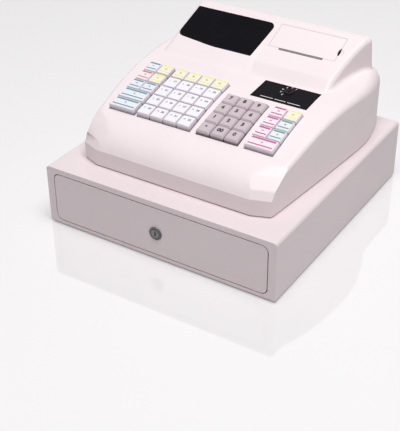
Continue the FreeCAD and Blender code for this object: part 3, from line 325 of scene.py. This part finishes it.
def makeLabelPaper():
    # paper label under a clear cap, with a band at its back and front in its own ink
    finish = Finish("labelPaper", IOR=labelLook["bend"], Roughness=labelLook["rough"])
    finish.set("Coat Weight", labelLook["coat"])
    spot = finish.node("ShaderNodeAttribute", {"attribute_name": "spot"}, {}, "Vector")
    ink = finish.node("ShaderNodeAttribute", {"attribute_name": "ink"}, {}, "Color")
    wash = finish.node("ShaderNodeAttribute", {"attribute_name": "wash"}, {}, "Fac")
    across = finish.node("ShaderNodeSeparateXYZ", {}, {"Vector": spot}, "X")
    back = finish.node("ShaderNodeSeparateXYZ", {}, {"Vector": spot}, "Y")
    low, high = labelLook["backBand"]
    near, far = labelLook["frontBand"]
    bands = (back > low) * (back < high) + (back > near) * (back < far)
    bands = bands * (abs(across) < labelLook["bandSide"])
    fibres = finish.noise(labelLook["fibre"], labelLook["fibreDetail"])
    shade = [part * labelLook["fibreShare"] for part in labelLook["paper"]]
    paper = finish.blend(fibres, shade, labelLook["paper"])
    washed = finish.blend(wash, paper, ink)
    finish.set("Base Color", finish.blend(bands, washed, ink))
    return finish.material


# material slot that each finish stands for
slotOf = {
    "housing": "housing", "cabinetPaint": "cabinet_paint", "sheetSteel": "sheet_steel",
    "brightMetal": "bright_metal", "darkChrome": "bright_metal", "greyChrome": "bright_metal",
    "lockBlack": "dark_plastic", "springWire": "spring_wire", "tray": "tray_plastic",
    "darkPlastic": "dark_plastic", "rubber": "rubber", "keyClear": "key_clear", "keyGrey": "key_grey",
    "panelBlack": "panel_label", "tintedWindow": "display_tint", "circuitBoard": "board",
    "coreSteel": "transformer_core", "paper": "paper",
}
finishes = {name: makeFinish(name) for name in looks}
finishes.update({
    "sheetSteel": makeSteel(), "circuitBoard": makeBoardGreen(), "coreSteel": makeLaminated(),
    "labelPaper": makeLabelPaper(),
})
print("materials made")


# every CAD node that shows gets a merged copy with soft edges

meshCare = {
    "merge": 0.002 * mm, "flat": math.radians(0.3), "sharp": math.radians(32), "edgeSteps": 2,
    "level": 0.02 * mm, "facing": 0.99,
}


def mergedCopy(node):
    source = frame["nodes"][node]
    mesh = bpy.data.meshes.new(node)
    build = bmesh.new()
    build.from_mesh(source.data)
    bmesh.ops.remove_doubles(build, verts=build.verts, dist=meshCare["merge"])
    bmesh.ops.dissolve_limit(build, angle_limit=meshCare["flat"], verts=build.verts, edges=build.edges,
                             delimit={"NORMAL"})
    for face in build.faces:
        face.smooth = True
    build.to_mesh(mesh)
    build.free()
    mesh.set_sharp_from_angle(angle=meshCare["sharp"])
    return mesh


def addPiece(name, mesh, body, finish, *replaced):
    piece = bpy.data.objects.new(name, mesh)
    bpy.context.scene.collection.objects.link(piece)
    if finish:
        mesh.materials.clear()
        mesh.materials.append(finishes[finish])
    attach(piece, body)
    if replaced:
        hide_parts(*replaced)
    finish in slotOf
    return piece


def dress(node, finish, edge):
    piece = addPiece(node + "_finished", mergedCopy(node), bodyOf[node], finish, node)
    if edge:
        soft = piece.modifiers.new("edges", "BEVEL")
        soft.width = edge
        soft.segments = meshCare["edgeSteps"]
        soft.limit_method = "ANGLE"
        soft.angle_limit = meshCare["sharp"]
        soft.harden_normals = False
    even = piece.modifiers.new("shading", "WEIGHTED_NORMAL")
    even.keep_sharp = True


# finish and edge radius of each node
dressed = {
    "upper_housing": ("housing", 0), "lower_housing": ("housing", 0.4 * mm), "printer_cover": ("housing", 0),
    "drawer_cabinet": ("cabinetPaint", 0.35 * mm), "drawer_front": ("cabinetPaint", 1.6 * mm),
    "drawer_pan": ("sheetSteel", 0), "cabinet_base": ("sheetSteel", 0), "cabinet_rails": ("sheetSteel", 0),
    "latch_solenoid": ("sheetSteel", 0.4 * mm), "printer_mechanism": ("darkPlastic", 0),
    "lock_barrel": ("darkChrome", 0.8 * mm), "lock_plug": ("greyChrome", 0.3 * mm),
    "mode_plug": ("lockBlack", 0.4 * mm), "latch_bolt": ("brightMetal", 0.5 * mm),
    "housing_screws": ("brightMetal", 0.3 * mm),
    "note_clip_left": ("springWire", 0), "note_clip_middle": ("springWire", 0),
    "note_clip_right": ("springWire", 0),
    "cash_tray": ("tray", 0.5 * mm), "cabinet_rollers": ("darkPlastic", 0.6 * mm),
    "drawer_rollers": ("darkPlastic", 0.6 * mm), "keyboard_frame": ("darkPlastic", 0),
    "paper_tub": ("darkPlastic", 0), "side_socket": ("darkPlastic", 0.3 * mm),
    "rubber_feet": ("rubber", 0.8 * mm),
    "platen_roller": ("rubber", 0.3 * mm), "mode_panel": ("panelBlack", 0.3 * mm),
    "display_window": ("tintedWindow", 0.4 * mm), "customer_window": ("tintedWindow", 0.4 * mm),
    "main_board": ("circuitBoard", 0), "display_board": ("circuitBoard", 0),
    "transformer": ("coreSteel", 0.8 * mm), "paper_roll": ("paper", 0.3 * mm),
}
keyEdge = 0.5 * mm
keyNodes = [node for node in frame["nodes"] if node.startswith(("key_", "keys_"))]
for node in keyNodes:
    clear = "left" in node or "right" in node or "centre" in node
    dressed[node] = ("keyClear" if clear else "keyGrey", keyEdge)
for node, (finish, edge) in dressed.items():
    dress(node, finish, edge)
print("nodes dressed")


# geometry node groups for what repeats

# how many steps make a curve, and how near points become one
steps = {"corner": 3, "turn": 24, "ring": 10, "tooth": 3, "letter": 3}
joinDistance = 1e-6


class Growth(Graph):
    # a geometry node group with named inputs, whose mesh is made plain by grow()

    def __init__(self, name, inputs):
        super().__init__(bpy.data.node_groups.new(name, "GeometryNodeTree"))
        face = self.tree.interface
        face.new_socket("Geometry", in_out="INPUT", socket_type="NodeSocketGeometry")
        for label, kind in inputs.items():
            face.new_socket(label, in_out="INPUT", socket_type="NodeSocket" + kind)
        face.new_socket("Geometry", in_out="OUTPUT", socket_type="NodeSocketGeometry")
        self.entry = self.tree.nodes.new("NodeGroupInput")

    def given(self, label):
        return Wire(self.tree, self.entry.outputs[label])

    def close(self, wire):
        plain = self.node("GeometryNodeRealizeInstances", {}, {"Geometry": wire})
        painted = self.node("GeometryNodeSetMaterial", {},
                            {"Geometry": plain, "Material": self.given("Material")})
        ending = self.tree.nodes.new("NodeGroupOutput")
        join(self.tree, ending.inputs["Geometry"], painted)

    def grow(self, mesh, **values):
        holder = bpy.data.objects.new(self.tree.name, mesh)
        bpy.context.scene.collection.objects.link(holder)
        modifier = holder.modifiers.new("grow", "NODES")
        modifier.node_group = self.tree
        for item in self.tree.interface.items_tree:
            if item.in_out == "INPUT" and item.name in values:
                modifier[item.identifier] = values[item.name]
        graph = bpy.context.evaluated_depsgraph_get()
        plain = bpy.data.meshes.new_from_object(holder.evaluated_get(graph), preserve_all_data_layers=True,
                                                depsgraph=graph)
        bpy.data.objects.remove(holder)
        return plain


def plateGroup():
    # a thin plate with round corners at each point, as large as the point's size says
    group = Growth("plates", {"Tilt": "Float", "Thickness": "Float", "Corner": "Float",
                              "Material": "Material"})
    square = group.node("GeometryNodeCurvePrimitiveQuadrilateral", {}, {"Width": 1.0, "Height": 1.0})
    soft = group.node("GeometryNodeFilletCurve", {"mode": "POLY"},
                      {"Curve": square, "Count": steps["corner"], "Radius": group.given("Corner"),
                       "Limit Radius": True})
    sheet = group.node("GeometryNodeFillCurve", {"mode": "NGONS"}, {"Curve": soft})
    spot = group.node("GeometryNodeInputPosition", {}, {})
    sheet = group.node("GeometryNodeStoreNamedAttribute", {"data_type": "FLOAT_VECTOR"},
                       {"Geometry": sheet, "Name": "spot", "Value": spot})
    raised = group.node("GeometryNodeExtrudeMesh", {},
                        {"Mesh": sheet, "Offset Scale": group.given("Thickness")})
    under = group.node("GeometryNodeFlipFaces", {}, {"Mesh": sheet})
    both = group.node("GeometryNodeJoinGeometry", {}, {"Geometry": raised})
    join(group.tree, both.socket.node.inputs["Geometry"], under)
    plate = group.node("GeometryNodeMergeByDistance", {}, {"Geometry": both, "Distance": joinDistance})
    spin = group.node("ShaderNodeCombineXYZ", {}, {"X": group.given("Tilt")})
    large = group.node("GeometryNodeInputNamedAttribute", {"data_type": "FLOAT_VECTOR"}, {"Name": "size"})
    group.close(group.node("GeometryNodeInstanceOnPoints", {}, {
        "Points": group.given("Geometry"), "Instance": plate, "Rotation": spin, "Scale": large}))
    return group


def toothGroup():
    # a row of three-sided teeth along X
    group = Growth("teeth", {"Count": "Int", "Step": "Float", "Radius": "Float", "Length": "Float",
                             "Material": "Material"})
    step = group.node("ShaderNodeCombineXYZ", {}, {"X": group.given("Step")})
    line = group.node("GeometryNodeMeshLine", {}, {"Count": group.given("Count"), "Offset": step})
    tooth = group.node("GeometryNodeMeshCylinder", {}, {
        "Vertices": steps["tooth"], "Radius": group.given("Radius"), "Depth": group.given("Length")})
    group.close(group.node("GeometryNodeInstanceOnPoints", {}, {"Points": line, "Instance": tooth}))
    return group


def tickGroup():
    # short strokes on an arc, each pointing at its middle
    group = Growth("ticks", {"Count": "Int", "Radius": "Float", "Start": "Float", "Sweep": "Float",
                             "Stroke": "Vector", "Material": "Material"})
    arc = group.node("GeometryNodeCurveArc", {}, {
        "Resolution": group.given("Count"), "Radius": group.given("Radius"),
        "Start Angle": group.given("Start"), "Sweep Angle": group.given("Sweep")})
    stroke = group.node("GeometryNodeMeshCube", {}, {"Size": group.given("Stroke")})
    spot = group.node("GeometryNodeInputPosition", {}, {})
    turned = group.node("FunctionNodeAlignRotationToVector", {"axis": "X"}, {"Vector": spot})
    group.close(group.node("GeometryNodeInstanceOnPoints", {}, {
        "Points": arc, "Instance": stroke, "Rotation": turned}))
    return group


def coilGroup():
    # round wire wound about Z
    group = Growth("coil", {"Turns": "Float", "Radius": "Float", "Length": "Float", "Wire": "Float",
                            "Material": "Material"})
    line = group.node("GeometryNodeCurveSpiral", {}, {
        "Resolution": steps["turn"], "Rotations": group.given("Turns"),
        "Start Radius": group.given("Radius"), "End Radius": group.given("Radius"),
        "Height": group.given("Length")})
    ring = group.node("GeometryNodeCurvePrimitiveCircle", {},
                      {"Resolution": steps["ring"], "Radius": group.given("Wire")})
    tube = group.node("GeometryNodeCurveToMesh", {},
                      {"Curve": line, "Profile Curve": ring, "Fill Caps": True})
    group.close(group.node("GeometryNodeSetShadeSmooth", {}, {"Geometry": tube}))
    return group


plates = plateGroup()
teeth = toothGroup()
ticks = tickGroup()
coil = coilGroup()


def loosePoints(name, spots, **columns):
    # a mesh of points with named attributes
    mesh = bpy.data.meshes.new(name)
    mesh.from_pydata(spots, [], [])
    for label, (kind, values) in columns.items():
        slot = mesh.attributes.new(label, kind, "POINT")
        for item, value in zip(slot.data, values):
            if kind == "FLOAT":
                item.value = value
            elif kind == "FLOAT_COLOR":
                item.color = (*value, 1)
            else:
                item.vector = value
    return mesh


def words(text, height, heavy):
    # flat characters about their own middle
    curve = bpy.data.curves.new("words", "FONT")
    curve.body = text
    curve.size = height
    curve.align_x = "CENTER"
    curve.align_y = "CENTER"
    curve.offset = heavy
    curve.extrude = printing["depth"]
    curve.resolution_u = steps["letter"]
    holder = bpy.data.objects.new("words", curve)
    mesh = bpy.data.meshes.new_from_object(holder)
    bpy.data.objects.remove(holder)
    return mesh


def gathered(name, parts):
    # one mesh of several, each moved by its matrix first
    build = bmesh.new()
    for mesh, matrix in parts:
        mesh.transform(matrix)
        build.from_mesh(mesh)
        bpy.data.meshes.remove(mesh)
    whole = bpy.data.meshes.new(name)
    build.to_mesh(whole)
    build.free()
    return whole


# labels and characters on the keys

printing = {
    "depth": 0.02 * mm, "labelEdge": 0.5 * mm, "labelThickness": 0.12 * mm, "labelCorner": 0.06,
    "digit": 9.8 * mm, "digitHeavy": 0.55 * mm, "small": 4.2 * mm, "smallHeavy": 0.06 * mm,
    "large": 5.6 * mm, "largeHeavy": 0.18 * mm,
    # shares of a cap's width and length
    "oneBack": 0.06, "twoBack": 0.14, "smallRight": -0.24, "largeRight": 0.17,
}
inks = {
    "magenta": (0.62, 0.045, 0.24), "teal": (0.045, 0.33, 0.27), "blueTeal": (0.06, 0.30, 0.36),
    "orange": (0.72, 0.15, 0.06), "yellow": (0.86, 0.80, 0.22), "plain": labelLook["paper"],
}
washes = {"yellow": 0.3, "plain": 0.0, "coloured": 0.07}
# columns and rows of the plain caps in the centre bank
plainColumns = 4
plainRows = 4
# ink of each coloured cap from left to right; rows count from the front
labelInks = {
    "keys_left_row_3": ("blueTeal", "yellow"), "keys_left_row_2": ("orange", "yellow"),
    "keys_left_row_1": ("blueTeal", "blueTeal"),
    "key_left_wide_2": ("blueTeal",), "key_left_wide_1": ("blueTeal",),
    "keys_centre_row_5": ("yellow",) * plainColumns, "keys_right_row_3": ("magenta", "yellow"),
    "keys_right_row_2": ("magenta", "teal"), "keys_right_row_1": ("magenta", "teal"),
    "key_right_wide": ("magenta",),
}
padWords = {"key_point": "\u2022", "key_double_zero": "00"}
digitNames = ["zero", "one", "two", "three", "four", "five", "six", "seven", "eight", "nine"]
padWords.update({"key_" + name: str(n) for n, name in enumerate(digitNames)})
# small numbers on the coloured caps
codes = {"first": 40, "count": 40}


def capTops(node):
    # middle and size of each cap's top face, from left to right
    mesh = mergedCopy(node)
    level = max(keyNormal.dot(vertex.co) for vertex in mesh.vertices) - meshCare["level"]
    tops = []
    for face in mesh.polygons:
        if keyNormal.dot(face.center) > level and keyNormal.dot(face.normal) > meshCare["facing"]:
            corners = [keyTurn.inverted() @ mesh.vertices[n].co for n in face.vertices]
            low = Vector([min(corner[axis] for corner in corners) for axis in range(3)])
            high = Vector([max(corner[axis] for corner in corners) for axis in range(3)])
            tops.append((keyTurn @ ((low + high) / 2), high - low))
    bpy.data.meshes.remove(mesh)
    return sorted(tops, key=lambda top: top[0].x)


def onCap(middle, right, back):
    return Matrix.Translation(middle + keyTurn @ Vector((right, back, printing["labelThickness"]))) @ keyTurn


def labelCaps(node, tops):
    chosen = labelInks.get(node, ("plain",) * len(tops))
    edge = 2 * printing["labelEdge"]
    sizes = [(extent.x - edge, extent.y - edge, 1) for middle, extent in tops]
    points = loosePoints(node + "_points", [middle for middle, extent in tops],
                         size=("FLOAT_VECTOR", sizes),
                         ink=("FLOAT_COLOR", [inks[name] for name in chosen]),
                         wash=("FLOAT", [washes.get(name, washes["coloured"]) for name in chosen]))
    mesh = plates.grow(points, Tilt=keyTilt, Thickness=printing["labelThickness"],
                       Corner=printing["labelCorner"], Material=finishes["labelPaper"])
    addPiece(node + "_labels", mesh, bodyOf[node], None)


def printCaps(node, tops):
    # a pad cap has one bold character, a plain cap two numbers, a coloured cap one small number
    parts = []
    for column, (middle, extent) in enumerate(tops):
        if node in padWords:
            mark = words(padWords[node], printing["digit"], printing["digitHeavy"])
            parts.append((mark, onCap(middle, 0, extent.y * printing["oneBack"])))
        elif node in labelInks:
            code = codes["first"] + sum(map(ord, node)) % codes["count"] + column
            mark = words(str(code), printing["small"], printing["smallHeavy"])
            parts.append((mark, onCap(middle, 0, extent.y * printing["oneBack"])))
        else:
            number = plainColumns * (plainRows - int(node[-1])) + column + 1
            back = extent.y * printing["twoBack"]
            first = words(str(number), printing["small"], printing["smallHeavy"])
            parts.append((first, onCap(middle, extent.x * printing["smallRight"], back)))
            number += plainColumns * plainRows
            second = words(str(number), printing["large"], printing["largeHeavy"])
            parts.append((second, onCap(middle, extent.x * printing["largeRight"], back)))
    addPiece(node + "_print", gathered(node + "_print", parts), bodyOf[node], "blackInk")


for node in keyNodes:
    tops = capTops(node)
    if node not in padWords:
        labelCaps(node, tops)
    printCaps(node, tops)
print("keys labelled")


# marks on the mode panel

modeMarks = {
    "numbers": 6, "ring": 13.2 * mm, "tickRing": 10.2 * mm,
    "start": math.radians(60), "sweep": math.radians(180),
    "stroke": (1.2 * mm, 0.28 * mm, 0.04 * mm), "digit": 4.4 * mm, "heavy": 0.14 * mm,
    "rules": [(-35 * mm, -13 * mm), (-10 * mm, 9 * mm), (12 * mm, 34 * mm)],
    "ruleBack": -28.6 * mm, "ruleWidth": 1.2 * mm,
}


def makeModeMarks():
    joint = joints["mode_lock_turn"]
    normal = Vector(joint["axis"])
    tilt = math.atan2(-normal.y, normal.z)
    plate = frame["nodes"]["mode_panel"].data
    top = max(normal.dot(vertex.co) for vertex in plate.vertices)
    middle = Vector(joint["pos_m"])
    middle += normal * (top + printing["depth"] - normal.dot(middle))
    place = Matrix.Translation(middle) @ Matrix.Rotation(tilt, 4, "X")
    strokes = ticks.grow(loosePoints("tick_seed", [(0, 0, 0)]), Count=modeMarks["numbers"],
                         Radius=modeMarks["tickRing"], Start=modeMarks["start"], Sweep=modeMarks["sweep"],
                         Stroke=modeMarks["stroke"], Material=finishes["whiteInk"])
    parts = [(strokes, place)]
    for n in range(modeMarks["numbers"]):
        angle = modeMarks["start"] + modeMarks["sweep"] * n / (modeMarks["numbers"] - 1)
        spot = Vector((math.cos(angle), math.sin(angle), 0)) * modeMarks["ring"]
        parts.append((words(str(n + 1), modeMarks["digit"], modeMarks["heavy"]),
                      place @ Matrix.Translation(spot)))
    spots = []
    sizes = []
    for low, high in modeMarks["rules"]:
        spots.append(place @ Vector(((low + high) / 2, modeMarks["ruleBack"], 0)))
        sizes.append((high - low, modeMarks["ruleWidth"], 1))
    rules = plates.grow(loosePoints("rule_points", spots, size=("FLOAT_VECTOR", sizes)), Tilt=tilt,
                        Thickness=printing["depth"], Corner=0.0, Material=finishes["whiteInk"])
    parts.append((rules, Matrix()))
    addPiece("mode_marks", gathered("mode_marks", parts), bodyOf["mode_panel"], "whiteInk")


makeModeMarks()


# tear bar in the paper slot, and the eject spring

tearBar = {
    "length": 76 * mm, "depth": 2.6 * mm, "thickness": 1.2 * mm, "drop": 1.0 * mm, "step": 1.5 * mm,
    "tooth": 0.75 * mm, "aheadShare": 0.75, "skin": 0.2 * mm, "upright": 0.5,
}
springLook = {"wire": 0.7 * mm, "turns": 7.0}


def makeTearBar():
    # lies before the cover's front edge, below the surface, with its teeth towards the cover
    cover = frame["nodes"]["printer_cover"].data
    face = max(cover.polygons, key=lambda polygon: polygon.area * (polygon.normal.z > tearBar["upright"]))
    normal = face.normal.copy()
    up = normal.cross(Vector((1, 0, 0)))
    top = normal.dot(face.center)
    skin = [vertex.co for vertex in cover.vertices if normal.dot(vertex.co) > top - tearBar["skin"]]
    middle = (min(spot.x for spot in skin) + max(spot.x for spot in skin)) / 2
    front = min(up.dot(spot) for spot in skin)
    ahead = up * (front - tearBar["depth"] * tearBar["aheadShare"])
    place = Matrix.Translation(Vector((middle, 0, 0)) + ahead + normal * (top - tearBar["drop"]))
    place = place @ Matrix.Rotation(math.atan2(-normal.y, normal.z), 4, "X")
    count = int(tearBar["length"] / tearBar["step"])
    bar = bmesh.new()
    bmesh.ops.create_cube(bar, size=1)
    bmesh.ops.scale(bar, verts=bar.verts, vec=(tearBar["length"], tearBar["depth"], tearBar["thickness"]))
    strip = bpy.data.meshes.new("tear_strip")
    bar.to_mesh(strip)
    bar.free()
    row = teeth.grow(loosePoints("tooth_seed", [(0, 0, 0)]), Count=count, Step=tearBar["step"],
                     Radius=tearBar["tooth"], Length=tearBar["thickness"], Material=finishes["greyPlastic"])
    turned = Matrix.Translation((-(count - 1) * tearBar["step"] / 2, tearBar["depth"] / 2, 0))
    addPiece("tear_bar", gathered("tear_bar", [(strip, place), (row, place @ turned)]),
             bodyOf["upper_housing"], "greyPlastic")


def meshBox(node):
    spots = [vertex.co for vertex in frame["nodes"][node].data.vertices]
    low = Vector([min(spot[axis] for spot in spots) for axis in range(3)])
    high = Vector([max(spot[axis] for spot in spots) for axis in range(3)])
    return low, high


def makeSpring():
    low, high = meshBox("eject_spring")
    middle = (low + high) / 2
    wire = springLook["wire"]
    mesh = coil.grow(loosePoints("coil_seed", [(0, 0, 0)]), Turns=springLook["turns"],
                     Radius=(high.z - low.z) / 2 - wire, Length=high.y - low.y - 2 * wire, Wire=wire,
                     Material=finishes["springWire"])
    lying = Matrix.Rotation(-math.pi / 2, 4, "X")
    mesh.transform(Matrix.Translation((middle.x, low.y + wire, middle.z)) @ lying)
    addPiece("eject_spring_finished", mesh, bodyOf["eject_spring"], "springWire", "eject_spring")


makeTearBar()
makeSpring()
print("small parts made")


# floor, light and world

studio = {
    "floor": (0.65, 0.64, 0.64), "floorShine": 1.0, "floorBend": 1.8, "floorRough": 0.04, "floorLift": 0.20,
    "floorSize": 12.0, "floorChange": 0.004, "floorPatch": 3, "sky": (0.99, 0.97, 1.0), "skyLevel": 0.27,
    "lamps": [
        {"name": "overhead", "place": (0.52, -0.50, 2.70), "aim": (0, -0.05, 0.15), "size": 1.5,
         "power": 65},
    ],
}


def makeFloor():
    half = studio["floorSize"] / 2
    mesh = bpy.data.meshes.new("floor")
    corners = [(-half, -half, 0), (half, -half, 0), (half, half, 0), (-half, half, 0)]
    mesh.from_pydata(corners, [], [(0, 1, 2, 3)])
    floor = bpy.data.objects.new("floor", mesh)
    bpy.context.scene.collection.objects.link(floor)
    finish = Finish("paleFloor", Roughness=studio["floorRough"], Specular_IOR_Level=studio["floorShine"],
                    IOR=studio["floorBend"])
    finish.spread(studio["floor"], studio["floorChange"], studio["floorPatch"])
    seen = finish.node("ShaderNodeLightPath", {}, {}, "Is Camera Ray")
    glow = finish.node("ShaderNodeEmission", {},
                       {"Color": (1, 1, 1), "Strength": seen * studio["floorLift"]})
    both = finish.node("ShaderNodeAddShader", {}, {})
    finish.tree.links.new(finish.shader.outputs[0], both.socket.node.inputs[0])
    finish.tree.links.new(glow.socket, both.socket.node.inputs[1])
    finish.tree.links.new(both.socket, finish.tree.nodes["Material Output"].inputs["Surface"])
    mesh.materials.append(finish.material)


def makeLamp(lamp):
    light = bpy.data.lights.new(lamp["name"], "AREA")
    light.size = lamp["size"]
    light.energy = lamp["power"]
    thing = bpy.data.objects.new(lamp["name"], light)
    away = Vector(lamp["place"]) - Vector(lamp["aim"])
    thing.location = lamp["place"]
    thing.rotation_euler = away.to_track_quat("Z", "Y").to_euler()
    bpy.context.scene.collection.objects.link(thing)


def makeWorld():
    # white where it is seen or mirrored, and a plain level elsewhere
    world = bpy.data.worlds.new("studio")
    bpy.context.scene.world = world
    world.use_nodes = True
    tree = world.node_tree
    path = tree.nodes.new("ShaderNodeLightPath")
    seen = Wire(tree, path.outputs["Is Camera Ray"])
    seen = seen.maths("MAXIMUM", seen, Wire(tree, path.outputs["Is Glossy Ray"]))
    seen = seen.maths("MAXIMUM", seen, Wire(tree, path.outputs["Is Transmission Ray"]))
    background = tree.nodes["Background"]
    background.inputs["Color"].default_value = (*studio["sky"], 1)
    level = studio["skyLevel"]
    join(tree, background.inputs["Strength"], seen * (1 - level) + level)


makeFloor()
for lamp in studio["lamps"]:
    makeLamp(lamp)
makeWorld()
bpy.context.scene.view_settings.view_transform = "Standard"
print("studio made")
